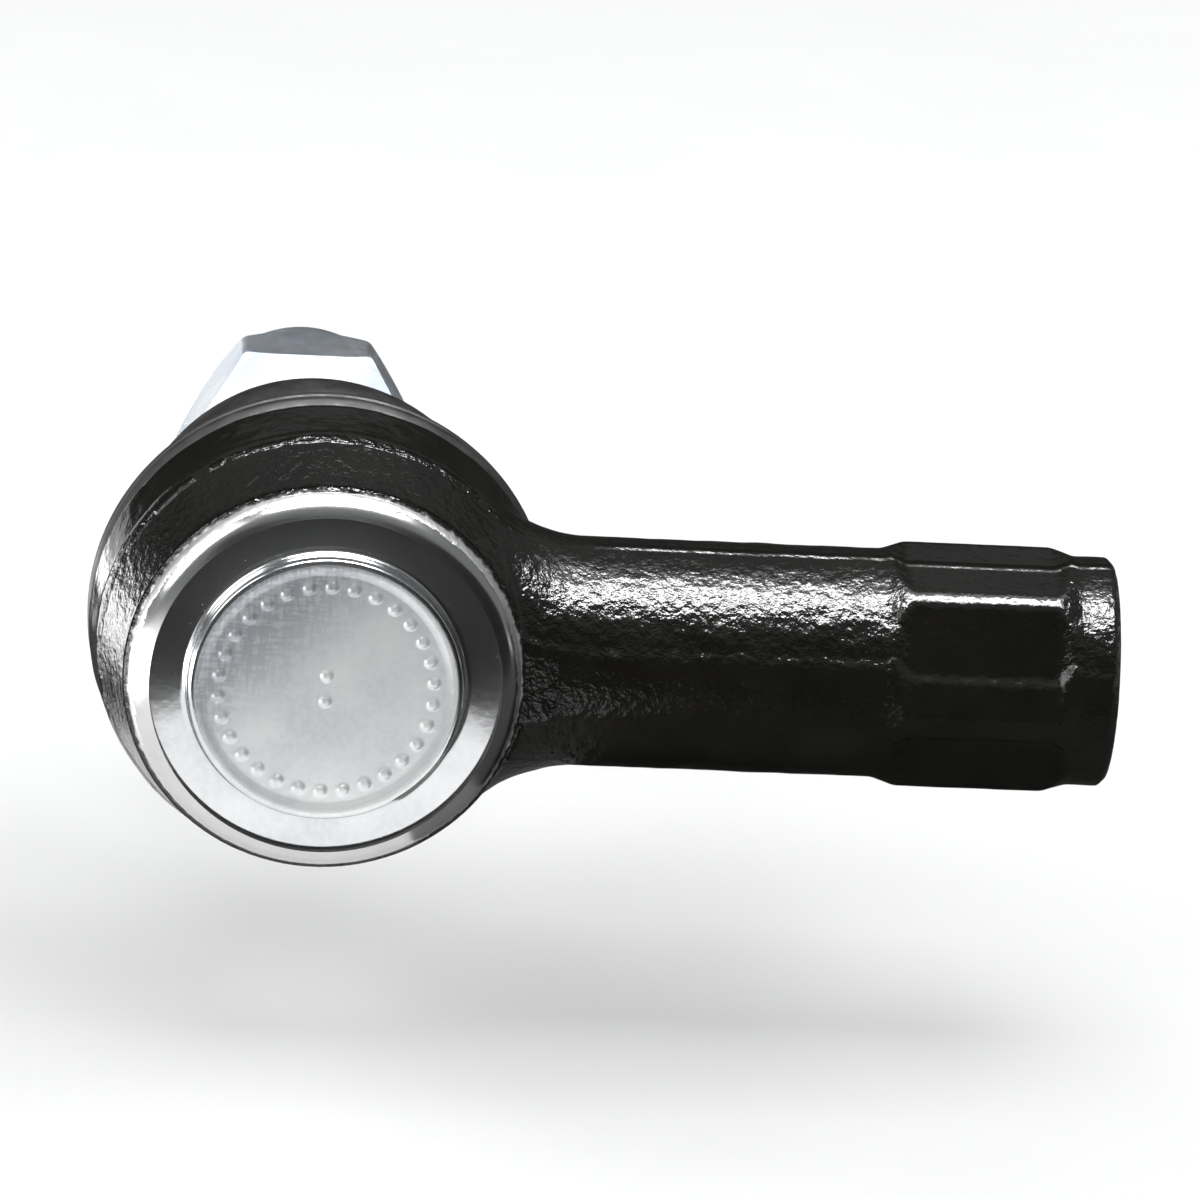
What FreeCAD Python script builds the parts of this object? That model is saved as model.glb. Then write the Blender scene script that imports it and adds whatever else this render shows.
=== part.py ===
"""Outer tie rod end: a ball stud in a forged socket whose shank screws onto a tie rod.

Millimetres. The origin is the ball's centre, about which the stud swings. +X runs along the
shank to its threaded mouth, +Y along the stud to its threaded end, and +Z is up.
Outlines that turn about +Y are lists of (radius, y), and those about +X of (x, radius).
"""

import FreeCAD
import Part
import math
import os

V = FreeCAD.Vector

# ---- driving dimensions ----------------------------------------------------------------------
BALL_R = 12.7              # ball of the stud
BALL_FLAT_Y = -9.5         # flat on the ball, on the cap's side
RUN_GAP = 0.06             # running clearance of the ball in its bearings
SLIP = 0.05                # clearance of rigid pieces that are pushed together
BOOT_GAP = 0.15            # clearance of the boot from what it seals on

SHANK_R = 11.0             # round shank
SHANK_END_X = 75.3         # ball centre to the mouth of the shank
ROOT_BEND = 14.0           # bend between the shank and the socket, seen from the front
WRENCH_FLATS = 21.0        # spanner size of the shank
WRENCH_X = (55.2, 69.4)    # length of the full spanner flats
WRENCH_CORNER_R = 11.75    # forged corners between the flats
WRENCH_CLOCK = 22.0        # degrees that the flats are turned about the shank
ROD_THREAD_R = 7.0         # M14 x 1.5, for the tie rod
ROD_TAP_R = 6.19           # wall of the tapped hole
ROD_HOLE_LEN = 40.0        # full depth of the tapped hole

SOCKET_R = 22.1            # socket at its rear rim, its widest
SHOULDER_R = 21.5          # socket where the flank turns into the barrel
SHOULDER_Y = -2.2
RIM_Y = 5.0                # rear rim, where the boot's groove starts
FLANK_R = 18.9             # socket where the rolled lip starts
FLANK_Y = -10.7
LIP_EDGE_R = 16.6          # inner edge of the lip that is rolled over the cap
LIP_EDGE_Y = -13.3
TOP_Y = 13.0               # top of the socket, inside the boot
BORE_R = 15.8              # bore for the bearings
THROAT = (10.95, 6.9)      # narrowest opening around the stud: radius and y
MOUTH_R = 14.4             # the opening's radius at the top of the socket

CAP_T = 1.4                # sheet of the end cap
CAP_FACE_Y = -14.4         # face of the cap's raised disc
CAP_FLOOR_Y = -12.5        # face of the sunk ring around the disc
CAP_DISC_R = 12.9
CAP_FLANGE_R = 17.15

NECK_R = 6.5               # stud between ball and boot
SEAT_R = 8.5               # stud at the boot's upper lip, the big end of the taper
TAPER_Y = (32.6, 49.6)     # tapered seat for the steering arm
TAPER_RATIO = 8.0          # 1 in 8 on diameter
STUD_THREAD_R = 6.95       # M14 x 1.5
STUD_END_Y = 69.6
STUD_NECK = [(6.9, 18.2), (7.8, 23.6), (SEAT_R, 28.4)]   # how the neck widens to the seat
CENTRE_R = 1.6             # turning centre in the stud's end

NUT_FLATS = 22.0
NUT_Y = (55.0, 68.3)
NUT_BORE_R = 7.0
NUT_CLOCK = 0.0            # degrees that the nut is turned about the stud
NYLON_Y = (64.0, 67.5)
NYLON_R = 8.9

GROOVE_R = 17.6            # groove of the socket that the boot's lower lip sits in
GROOVE_TOP_Y = 9.6
BEAD_R = 18.4              # bead that keeps the lip in its groove
BOOT_LIP_R = 22.1          # lower lip of the boot
BOOT_TOP_Y = 35.5          # top of the boot's collar
BOOT_OUTSIDE = [(19.9, 12.0), (18.3, 14.4), (17.3, 17.0), (17.5, 19.6), (18.15, 22.0),
                (18.2, 24.4), (17.3, 27.2), (15.3, 29.8), (12.6, 31.6), (11.0, 32.3)]
BOOT_INSIDE = [(11.8, 29.5), (14.0, 28.1), (15.6, 26.1), (16.3, 24.0), (16.2, 22.2),
               (15.6, 19.8), (15.4, 17.0), (16.4, 13.9), (18.0, 11.9), (18.5, 11.1)]
LOWER_WIRE = (20.4, 9.75, 0.65)   # ring on the boot's lower lip: radius, y, wire radius
UPPER_WIRE = (10.15, 33.9, 0.55)  # ring on the boot's collar, the same


# ---- helpers ---------------------------------------------------------------------------------
def edges_of(outline):
    """Edges of a closed outline. A plain pair is a corner, ("arc", mid, end) is an arc, and
    ("curve", [points]) runs smoothly through its points, the last of which is its end."""
    made = []
    here = V(*outline[0], 0)
    for step in outline[1:] + [outline[0]]:
        if step[0] == "arc":
            end = V(*step[2], 0)
            made.append(Part.Arc(here, V(*step[1], 0), end).toShape())
        elif step[0] == "curve":
            through = [here] + [V(*p, 0) for p in step[1]]
            end = through[-1]
            spline = Part.BSplineCurve()
            spline.interpolate(through)
            made.append(spline.toShape())
        else:
            end = V(*step, 0)
            if end.isEqual(here, 1e-7):
                continue
            made.append(Part.LineSegment(here, end).toShape())
        here = end
    return made


def turned(outline, axis=V(0, 1, 0)):
    """Solid turned about an axis through the origin from a closed outline in the XY plane."""
    face = Part.Face(Part.Wire(edges_of(outline)))
    return face.revolve(V(0, 0, 0), axis, 360)


def wire_ring(centre_r, y, wire_r):
    """Ring of round wire about +Y."""
    return Part.makeTorus(centre_r, wire_r, V(0, y, 0), V(0, 1, 0))


def hexagon_y(flats, y0, y1, clock):
    """Hexagonal prism about +Y, with a flat upward when clock is 0."""
    corner_r = flats / math.sqrt(3)
    corners = []
    for k in range(7):
        a = math.radians(60 * k - clock)
        corners.append(V(corner_r * math.cos(a), y0, corner_r * math.sin(a)))
    return Part.Face(Part.makePolygon(corners)).extrude(V(0, y1 - y0, 0))


def on_sphere(radius, y):
    """Point (r, y) of a sphere about the origin at height y."""
    return (math.sqrt(radius**2 - y**2), y)


def sphere_arc(radius, y_start, y_end):
    """Outline step along the sphere from height y_start to y_end."""
    return ("arc", on_sphere(radius, (y_start + y_end) / 2), on_sphere(radius, y_end))


# ---- housing ---------------------------------------------------------------------------------
def socket_body():
    """Outside of the socket, with the rolled lip, the shoulder and the boot's groove."""
    turn_in = 0.8              # how far the shoulder and the rim are rounded
    flank_in = 0.45            # how far the flank has drawn in by the end of the shoulder's round
    shoulder_sag = 0.1         # how far the round's middle lies inside its ends' meeting point
    rim_sag = 0.2
    lip_step = 0.35            # small ledge between the painted flank and the lip
    lip_mid = (18.15, -12.2)
    bead_y = (GROOVE_TOP_Y + 0.7, GROOVE_TOP_Y + 1.5)
    mouth_wall = 1.3
    return turned([
        (0, LIP_EDGE_Y),
        (LIP_EDGE_R, LIP_EDGE_Y),
        ("arc", lip_mid, (FLANK_R - lip_step, FLANK_Y - lip_step)),
        (FLANK_R, FLANK_Y),
        (SHOULDER_R - flank_in, SHOULDER_Y - turn_in),
        ("arc", (SHOULDER_R - shoulder_sag, SHOULDER_Y), (SHOULDER_R, SHOULDER_Y + turn_in)),
        (SOCKET_R, RIM_Y - turn_in),
        ("arc", (SOCKET_R - rim_sag, RIM_Y - rim_sag), (SOCKET_R - turn_in, RIM_Y)),
        (GROOVE_R, RIM_Y),
        (GROOVE_R, GROOVE_TOP_Y),
        (BEAD_R, bead_y[0]),
        (BEAD_R, bead_y[1]),
        (MOUTH_R + mouth_wall, TOP_Y),
        (0, TOP_Y),
    ])


def ellipse_wire(x, half_y, half_z):
    """Ellipse in the plane at x, taller than it is wide."""
    ellipse = Part.Ellipse(V(x, 0, half_z), V(x, half_y, 0), V(x, 0, 0))
    return Part.Wire(ellipse.toShape())


def circle_wire(x, radius):
    """Circle in the plane at x, which starts on +Z as the ellipses do."""
    circle = Part.Circle(V(x, 0, 0), V(1, 0, 0), radius).toShape()
    start = circle.Vertexes[0].Point
    circle.rotate(V(x, 0, 0), V(1, 0, 0), math.degrees(math.atan2(start.y, start.z)))
    return Part.Wire(circle)


def root_end_x():
    """Where the root's bend, tangent to the socket and to the shank, runs out on the shank."""
    reach = SHOULDER_R + ROOT_BEND
    return math.sqrt(reach**2 - (SHANK_R + ROOT_BEND) ** 2)


def shank_root():
    """Flare that joins the shank to the socket: deep in Z and slight in Y."""
    end_x = root_end_x()
    start_x = end_x * SHOULDER_R / (SHOULDER_R + ROOT_BEND)
    spread_y = 0.1             # share of the flare that also widens the shank
    inner_x = 12.0             # buried end, inside the socket
    stations = 8
    wires = []
    for k in range(stations):
        x = start_x + (end_x - start_x) * k / stations
        rise = ROOT_BEND - math.sqrt(ROOT_BEND**2 - (end_x - x) ** 2)
        wires.append(ellipse_wire(x, SHANK_R + rise * spread_y, SHANK_R + rise))
    wires.append(circle_wire(end_x, SHANK_R))
    stub = Part.Face(wires[0].copy()).extrude(V(inner_x - start_x, 0, 0))
    return Part.makeLoft(wires, True, False).fuse(stub)


def shank_bar():
    """Round shank beyond its root, and the swelling that carries the spanner flats."""
    swell = 2.2                # length of each end of the swelling
    chamfer = 0.6
    return turned([
        (root_end_x(), 0),
        (root_end_x(), SHANK_R),
        (WRENCH_X[0] - swell, SHANK_R),
        (WRENCH_X[0], WRENCH_CORNER_R),
        (WRENCH_X[1], WRENCH_CORNER_R),
        (WRENCH_X[1] + swell, SHANK_R),
        (SHANK_END_X - chamfer, SHANK_R),
        (SHANK_END_X, SHANK_R - chamfer),
        (SHANK_END_X, 0),
    ], V(1, 0, 0))


def wrench_flat_cutter(k):
    """Cutter of one spanner flat, whose ends slope out of the shank."""
    flat_r = WRENCH_FLATS / 2
    outer_r = 14.0
    slope = 24.0               # degrees
    half_width = 9.0
    run_out = (outer_r - flat_r) / math.tan(math.radians(slope))
    corners = [
        V(WRENCH_X[0], -flat_r, -half_width),
        V(WRENCH_X[1], -flat_r, -half_width),
        V(WRENCH_X[1] + run_out, -outer_r, -half_width),
        V(WRENCH_X[0] - run_out, -outer_r, -half_width),
        V(WRENCH_X[0], -flat_r, -half_width),
    ]
    cutter = Part.Face(Part.makePolygon(corners)).extrude(V(0, 0, 2 * half_width))
    cutter.rotate(V(0, 0, 0), V(1, 0, 0), 60 * k - WRENCH_CLOCK)
    return cutter


def boot_relief():
    """Room around the boot's lip where the shank would reach over it."""
    clear_r = BOOT_LIP_R + 0.55
    slope_mid = (23.9, 8.6)
    slope_end = (27.0, SHANK_R + 0.6)
    over = 1.0
    return turned([
        (GROOVE_R, RIM_Y),
        (clear_r, RIM_Y),
        ("arc", slope_mid, slope_end),
        (slope_end[0], TOP_Y + over),
        (GROOVE_R, TOP_Y + over),
    ])


def socket_cavity():
    """Inside of the socket: cap pocket under the rolled lip, bearing bore and flared mouth."""
    pocket_r = CAP_FLANGE_R + SLIP
    bore_end_y = 4.6
    seat = (THROAT[0] + 2.1, THROAT[1] + 0.6)     # end of the bearing's seat
    swing = (THROAT[0] + 0.9, THROAT[1] + 2.0)    # from here the mouth widens for the swing
    over = 1.0
    return turned([
        (0, LIP_EDGE_Y - over),
        (LIP_EDGE_R, LIP_EDGE_Y - over),
        (LIP_EDGE_R, CAP_FLOOR_Y),
        (pocket_r, CAP_FLOOR_Y),
        (pocket_r, CAP_FLOOR_Y + CAP_T),
        (BORE_R, CAP_FLOOR_Y + CAP_T),
        (BORE_R, bore_end_y),
        seat,
        swing,
        (MOUTH_R, TOP_Y),
        (MOUTH_R, TOP_Y + over),
        (0, TOP_Y + over),
    ])


def rod_hole():
    """Tapped hole of the shank at its wall radius, with a countersunk mouth and a drilled end."""
    mouth_r = ROD_THREAD_R + 0.3
    bottom_x = SHANK_END_X - ROD_HOLE_LEN
    drill_angle = 31.0         # degrees, between the drilled end and the plane across the hole
    drill_tip = ROD_TAP_R * math.tan(math.radians(drill_angle))
    over = 0.5
    return turned([
        (bottom_x - drill_tip, 0),
        (bottom_x, ROD_TAP_R),
        (SHANK_END_X - (mouth_r - ROD_TAP_R), ROD_TAP_R),
        (SHANK_END_X + over, mouth_r + over),
        (SHANK_END_X + over, 0),
    ], V(1, 0, 0))


def housing():
    """Forged socket and shank in one piece."""
    shank = shank_bar()
    for k in range(6):
        shank = shank.cut(wrench_flat_cutter(k))
    shank = shank.fuse(shank_root())
    shank = shank.cut(boot_relief())
    body = socket_body().fuse(shank)
    return body.cut(socket_cavity()).cut(rod_hole()).removeSplitter()


# ---- what closes and lines the socket --------------------------------------------------------
def end_cap():
    """Pressed steel cap: raised disc with a rounded edge inside a flat flange."""
    edge = 0.7                 # rounding of the disc's edge
    foot = 0.6                 # rounding where the disc's wall meets the flange
    inner_foot = 1.2           # the same, on the hidden side
    draft = 0.1                # how far the wall leans out
    under_y = CAP_FLOOR_Y + CAP_T
    foot_r = CAP_DISC_R + draft
    wall_r = CAP_DISC_R - CAP_T
    bend = 1 - math.sqrt(0.5)  # share of a quarter round that its middle is short of the corner
    return turned([
        (0, CAP_FACE_Y),
        (CAP_DISC_R - edge, CAP_FACE_Y),
        ("arc", (CAP_DISC_R - edge * bend, CAP_FACE_Y + edge * bend),
         (CAP_DISC_R, CAP_FACE_Y + edge)),
        (foot_r, CAP_FLOOR_Y - foot),
        ("arc", (foot_r + foot * bend, CAP_FLOOR_Y - foot * bend), (foot_r + foot, CAP_FLOOR_Y)),
        (CAP_FLANGE_R, CAP_FLOOR_Y),
        (CAP_FLANGE_R, under_y),
        (wall_r + inner_foot, under_y),
        ("arc", (wall_r + inner_foot * bend, under_y - inner_foot * bend),
         (wall_r, under_y - inner_foot)),
        (wall_r - 3 * draft, CAP_FACE_Y + CAP_T),
        (0, CAP_FACE_Y + CAP_T),
    ])


def upper_bearing():
    """Plastic seat over the ball's equator and shoulder."""
    low_y, throat_y = -2.8, THROAT[1]
    bore_end_y = 4.55          # just short of the socket's own
    seat = (THROAT[0] + 2.05, THROAT[1] + 0.5)
    ball = BALL_R + RUN_GAP
    outer_r = BORE_R - SLIP
    return turned([
        on_sphere(ball, low_y),
        (outer_r, low_y),
        (outer_r, bore_end_y),
        seat,
        on_sphere(ball, throat_y),
        sphere_arc(ball, throat_y, low_y),
    ])


def lower_bearing():
    """Plastic cup under the ball, pushed up by the disc spring."""
    top_y, low_y = -3.1, -8.9
    under_y = -9.9
    rim = 0.4
    ball = BALL_R + RUN_GAP
    outer_r = BORE_R - SLIP
    return turned([
        on_sphere(ball, top_y),
        (outer_r, top_y),
        (outer_r, under_y),
        (on_sphere(ball, low_y)[0] + rim, under_y),
        on_sphere(ball, low_y),
        sphere_arc(ball, low_y, top_y),
    ])


def preload_spring():
    """Coned disc spring between the end cap and the lower bearing."""
    inner_r, outer_r = 12.9, 15.5
    high_y = -9.93
    cap_gap = 0.02
    low_y = CAP_FLOOR_Y + CAP_T + cap_gap
    sheet = 0.5
    return turned([
        (inner_r, high_y - sheet),
        (outer_r, low_y),
        (outer_r, low_y + sheet),
        (inner_r, high_y),
    ])


# ---- stud ------------------------------------------------------------------------------------
def ball_stud():
    """Ball, neck, boot seat, taper and thread in one piece, with a turning centre in its end."""
    taper_small_r = SEAT_R - (TAPER_Y[1] - TAPER_Y[0]) / TAPER_RATIO / 2
    neck_y = math.sqrt(BALL_R**2 - NECK_R**2)
    undercut_r = STUD_THREAD_R - 0.75
    undercut_y = (TAPER_Y[1] + 0.5, TAPER_Y[1] + 1.3)
    straight_neck = 2.5
    chamfer = 1.0
    return turned([
        (0, BALL_FLAT_Y),
        on_sphere(BALL_R, BALL_FLAT_Y),
        sphere_arc(BALL_R, BALL_FLAT_Y, neck_y),
        (NECK_R, neck_y + straight_neck),
        ("curve", STUD_NECK),
        (SEAT_R, TAPER_Y[0]),
        (taper_small_r, TAPER_Y[1]),
        (undercut_r, undercut_y[0]),
        (undercut_r, undercut_y[1]),
        (STUD_THREAD_R, undercut_y[1] + STUD_THREAD_R - undercut_r),
        (STUD_THREAD_R, STUD_END_Y - chamfer),
        (STUD_THREAD_R - chamfer, STUD_END_Y),
        (CENTRE_R, STUD_END_Y),
        (0, STUD_END_Y - CENTRE_R * math.sqrt(3)),
    ])


# ---- boot ------------------------------------------------------------------------------------
def ring_seat(wire, depth_gap):
    """Floor radius, lower side and upper side of the groove that a ring of wire sits in."""
    centre_r, y, wire_r = wire
    half = wire_r + depth_gap
    return centre_r - half, y - half, y + half


def dust_boot():
    """Rubber boot: thick lower lip, skirt, bulge and a collar round the stud."""
    ring_floor, ring_low, ring_high = ring_seat(LOWER_WIRE, BOOT_GAP)
    collar_floor, collar_low, collar_high = ring_seat(UPPER_WIRE, BOOT_GAP)
    hold_r = GROOVE_R + BOOT_GAP
    stud_r = SEAT_R + BOOT_GAP
    top_stud_r = stud_r - (BOOT_TOP_Y - TAPER_Y[0]) / TAPER_RATIO / 2
    lip_y = RIM_Y + BOOT_GAP
    lip_sole_r = 19.6          # flat underside of the lip
    lip_round = (BOOT_LIP_R - 0.7, lip_y + 0.55)
    lip_round_mid = (BOOT_LIP_R - 0.15, lip_y + 0.95)
    lip_side_y = lip_y + 1.6
    lip_chamfer = 0.5
    skirt_start_r = 20.3
    collar_r = UPPER_WIRE[0] + 0.4
    collar_root_y = 32.7
    collar_edge_r = 9.85
    inner_collar = [(stud_r, 30.4), (9.6, 29.9)]
    bead_clear_r = BEAD_R + 0.1
    return turned([
        (hold_r, lip_y),
        (lip_sole_r, lip_y),
        lip_round,
        ("arc", lip_round_mid, (BOOT_LIP_R, lip_side_y)),
        (BOOT_LIP_R, ring_low - lip_chamfer),
        (BOOT_LIP_R - lip_chamfer, ring_low),
        (ring_floor, ring_low),
        (ring_floor, ring_high),
        (skirt_start_r, ring_high),
        ("curve", BOOT_OUTSIDE),
        (collar_r, collar_root_y),
        (collar_r, collar_low),
        (collar_floor, collar_low),
        (collar_floor, collar_high),
        (UPPER_WIRE[0], collar_high),
        (collar_edge_r, BOOT_TOP_Y),
        (top_stud_r, BOOT_TOP_Y),
        (stud_r, TAPER_Y[0]),
        *inner_collar,
        ("curve", BOOT_INSIDE),
        (bead_clear_r, GROOVE_TOP_Y + 0.6),
        (hold_r, GROOVE_TOP_Y - 0.1),
    ])


# ---- nut -------------------------------------------------------------------------------------
def lock_nut():
    """Hexagon nut with a round collar that is rolled over the nylon ring."""
    near_y, far_y = NUT_Y
    corner_r = NUT_FLATS / math.sqrt(3)
    flat_r = NUT_FLATS / 2
    collar_y = near_y + 8.0    # where the hexagon's cone meets the collar
    cone_y = near_y + 5.4
    collar_top_y = far_y - 1.9
    collar_side = (flat_r - 0.45, collar_y + 0.25)
    crown_start_r = flat_r - 0.65
    crown_mid = (flat_r - 1.05, far_y - 0.65)
    crown_end_r = flat_r - 1.9
    lead_in = 0.9
    corner_cut = 0.4
    nylon_lip = 0.5
    blank = turned([
        (NUT_BORE_R, near_y + lead_in),
        (NUT_BORE_R + lead_in, near_y),
        (corner_r - corner_cut, near_y),
        (corner_r, near_y + corner_cut / 2),
        (corner_r, cone_y),
        (flat_r - 0.05, collar_y),
        collar_side,
        (crown_start_r, collar_top_y),
        ("arc", crown_mid, (crown_end_r, far_y)),
        (NYLON_R - nylon_lip, far_y),
        (NYLON_R - nylon_lip, NYLON_Y[1]),
        (NYLON_R, NYLON_Y[1]),
        (NYLON_R, NYLON_Y[0]),
        (NUT_BORE_R, NYLON_Y[0]),
    ])
    return blank.common(hexagon_y(NUT_FLATS, near_y - 1, far_y + 1, NUT_CLOCK))


def nylon_ring():
    """Locking ring held in the nut's crown."""
    inner_r, outer_r = NUT_BORE_R + 0.02, NYLON_R - SLIP
    low_y, high_y = NYLON_Y[0] + SLIP, NYLON_Y[1] - SLIP
    return turned([(inner_r, low_y), (outer_r, low_y), (outer_r, high_y), (inner_r, high_y)])


PARTS = {
    "housing": housing,
    "end_cap": end_cap,
    "upper_bearing": upper_bearing,
    "lower_bearing": lower_bearing,
    "preload_spring": preload_spring,
    "ball_stud": ball_stud,
    "dust_boot": dust_boot,
    "boot_lower_ring": lambda: wire_ring(*LOWER_WIRE),
    "boot_upper_ring": lambda: wire_ring(*UPPER_WIRE),
    "lock_nut": lock_nut,
    "nut_nylon_ring": nylon_ring,
}


def main():
    os.makedirs("parts", exist_ok=True)
    for name, make in PARTS.items():
        shape = make()
        solids = shape.Solids
        whole = solids[0] if len(solids) == 1 else Part.makeCompound(solids)
        whole.exportStep(f"parts/{name}.step")
        print(f"{name}: {len(solids)} solid, {whole.Volume:.0f} mm3, valid {whole.isValid()}")


main()
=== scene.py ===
"""Looks of an outer tie rod end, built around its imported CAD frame.

Blender's units are metres. Outlines are in millimetres, as (radius, place along the axis), and
points and directions are in the row frame: the ball's centre is the origin, +X runs out along
the shank, +Y along the stud and +Z is up.
"""

import math

import bmesh
import bpy
import numpy as np
from mathutils import Matrix, Vector, noise

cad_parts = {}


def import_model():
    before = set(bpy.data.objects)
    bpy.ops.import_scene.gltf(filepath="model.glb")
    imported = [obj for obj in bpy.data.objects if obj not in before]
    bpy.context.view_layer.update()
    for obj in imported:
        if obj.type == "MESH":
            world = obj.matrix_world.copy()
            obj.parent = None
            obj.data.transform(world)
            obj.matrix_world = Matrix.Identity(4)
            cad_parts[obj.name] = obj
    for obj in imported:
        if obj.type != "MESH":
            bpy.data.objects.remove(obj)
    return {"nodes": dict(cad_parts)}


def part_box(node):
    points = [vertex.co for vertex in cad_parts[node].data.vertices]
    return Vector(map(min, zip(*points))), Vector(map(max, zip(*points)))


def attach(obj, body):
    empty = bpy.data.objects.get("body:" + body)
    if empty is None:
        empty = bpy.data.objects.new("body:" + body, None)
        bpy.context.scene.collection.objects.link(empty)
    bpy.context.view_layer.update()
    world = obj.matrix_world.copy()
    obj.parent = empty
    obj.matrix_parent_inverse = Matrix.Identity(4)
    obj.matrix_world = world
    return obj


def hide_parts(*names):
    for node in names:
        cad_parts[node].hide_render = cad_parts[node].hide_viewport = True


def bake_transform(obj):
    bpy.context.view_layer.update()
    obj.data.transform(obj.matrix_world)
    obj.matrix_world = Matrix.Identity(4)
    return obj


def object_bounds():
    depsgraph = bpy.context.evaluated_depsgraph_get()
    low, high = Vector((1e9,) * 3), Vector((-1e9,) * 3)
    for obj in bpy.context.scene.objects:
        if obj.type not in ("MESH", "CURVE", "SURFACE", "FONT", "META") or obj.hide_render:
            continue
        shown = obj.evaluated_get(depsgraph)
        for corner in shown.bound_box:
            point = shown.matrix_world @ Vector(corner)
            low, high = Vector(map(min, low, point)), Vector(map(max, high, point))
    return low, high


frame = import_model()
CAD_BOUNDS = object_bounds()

MM = 0.001
NODES = frame["nodes"]

# ---- sizes in millimetres, the same as the CAD's ----------------------------------------------
SHANK_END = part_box("housing")[1].x / MM
WRENCH_X = (55.2, 69.4)        # the spanner flats
TAP_R, THREAD_R = 6.19, 7.05   # wall of the tapped hole, and its thread's greatest radius
ROD_HOLE_LEN = 40.0
PITCH = 1.5                    # of both threads

LIP_TOP = (18.9, -10.7)        # where the flank ends and the rolled lip starts
LIP_EDGE = (16.6, -13.3)       # inner edge of the rolled lip
BORE_R, BORE_TOP_Y = 15.8, 4.6
THROAT = [(13.05, 7.5), (11.85, 8.9)]    # how the cavity narrows above its bore
MOUTH_R, TOP_Y = 14.4, 13.0    # flared mouth, at the top of the socket

CAP_FACE_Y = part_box("end_cap")[0].y / MM
CAP_FLOOR_Y, CAP_T = -12.5, 1.4
CAP_DISC_R, CAP_FLANGE_R = 12.9, 17.15

BALL_R, BALL_FLAT_Y, BALL_FLAT_R = 12.7, -9.5, 8.0
STUD_NECK = [(6.5, 13.4), (6.9, 18.2), (7.8, 23.6), (8.5, 28.4)]
STUD_TAPER = [(8.5, 32.6), (7.4375, 49.6)]
STUD_RELIEF = [(6.2, 50.1), (6.2, 50.9)]       # between the taper and the thread
STUD_CREST_R = 6.95
STUD_END_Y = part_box("ball_stud")[1].y / MM

NUT_NEAR_Y, NUT_FAR_Y = (corner.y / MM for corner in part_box("lock_nut"))
NUT_FLATS = 22.0
NUT_CORNER_R = NUT_FLATS / math.sqrt(3)
NYLON_NEAR_Y, NYLON_FAR_Y = 64.0, 67.5         # room for the nylon ring in the nut

BOOT_LIP_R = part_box("dust_boot")[1].x / MM
BOOT_SPLIT_Y = 22.0            # where the boot's lower and upper pieces meet
SKIRT_GROOVE_R, SKIRT_WIRE_R = 19.62, 0.37
COLLAR_GROOVE_R, COLLAR_WIRE_R = 9.47, 0.32

STUD_SWING = 18                # degrees that the stud tilts each way
NUT_TRAVEL = 12                # how far the nut unscrews
FLOOR_GAP = 0.3                # between the floor and the nut at its lowest


# ---- outlines --------------------------------------------------------------------------------
def ease(t):
    """Smooth step of t from 0 to 1."""
    t = np.clip(t, 0, 1)
    return t * t * (3 - 2 * t)


def rounded(outline, radius, steps=4):
    """Open outline whose inner corners are rounded off by about radius."""
    most = 0.45                    # share of a side that one corner may take
    straight = math.radians(12)    # a bend below this stays as it is
    points = [Vector(p[:2]) for p in outline]
    result = [tuple(points[0])]
    for before, corner, after in zip(points, points[1:], points[2:]):
        back, on = before - corner, after - corner
        reach = min(radius, most * back.length, most * on.length)
        start, end = corner + back.normalized() * reach, corner + on.normalized() * reach
        if back.angle(-on, 0) < straight:
            result.append(tuple(corner))
            continue
        for k in range(steps + 1):
            t = k / steps
            result.append(tuple((1 - t) ** 2 * start + 2 * t * (1 - t) * corner + t * t * end))
    return result + [tuple(points[-1])]


def through(points, steps=6):
    """Smooth outline through points, by Catmull-Rom segments."""
    p = np.array([points[0]] + list(points) + [points[-1]], float)
    made = []
    for a, b, c, d in zip(p, p[1:], p[2:], p[3:]):
        for k in range(steps):
            t = k / steps
            made.append(tuple(0.5 * (2 * b + (c - a) * t + (2 * a - 5 * b + 4 * c - d) * t**2
                                     + (3 * b - a - 3 * c + d) * t**3)))
    return made + [tuple(points[-1])]


# ---- meshes ----------------------------------------------------------------------------------
def around(axis, radius, along, turn):
    """Points of a ring in metres; turn is right-handed about the axis."""
    c, s = radius * np.cos(turn), radius * np.sin(turn)
    along = np.broadcast_to(along, c.shape)
    points = (s, along, c) if axis == "y" else (along, c, s)
    return np.stack(points, -1) * MM


def turns(segments):
    """The turn of each point of a ring."""
    return np.arange(segments) * (2 * math.pi / segments)


def new_piece(name, vertices, faces):
    """Object with that mesh, its faces looking outward."""
    mesh = bpy.data.meshes.new(name)
    mesh.from_pydata([tuple(v) for v in vertices], [], faces)
    work = bmesh.new()
    work.from_mesh(mesh)
    bmesh.ops.recalc_face_normals(work, faces=work.faces)
    work.to_mesh(mesh)
    work.free()
    piece = bpy.data.objects.new(name, mesh)
    bpy.context.scene.collection.objects.link(piece)
    return piece


def skin(name, rings, loop=False, poles=()):
    """Closed mesh through rings of equally many points, whose ends are closed at two poles or,
    with loop, by joining the last ring to the first."""
    count, segments = len(rings), len(rings[0])
    vertices = np.concatenate(rings)
    faces = []
    for i in range(count if loop else count - 1):
        low, high = i * segments, (i + 1) % count * segments
        for j in range(segments):
            k = (j + 1) % segments
            faces.append((low + j, low + k, high + k, high + j))
    for pole, first in zip(poles, (0, (count - 1) * segments)):
        vertices = np.concatenate([vertices, [pole]])
        tip = len(vertices) - 1
        faces += [(first + j, first + (j + 1) % segments, tip) for j in range(segments)]
    return new_piece(name, vertices, faces)


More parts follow.
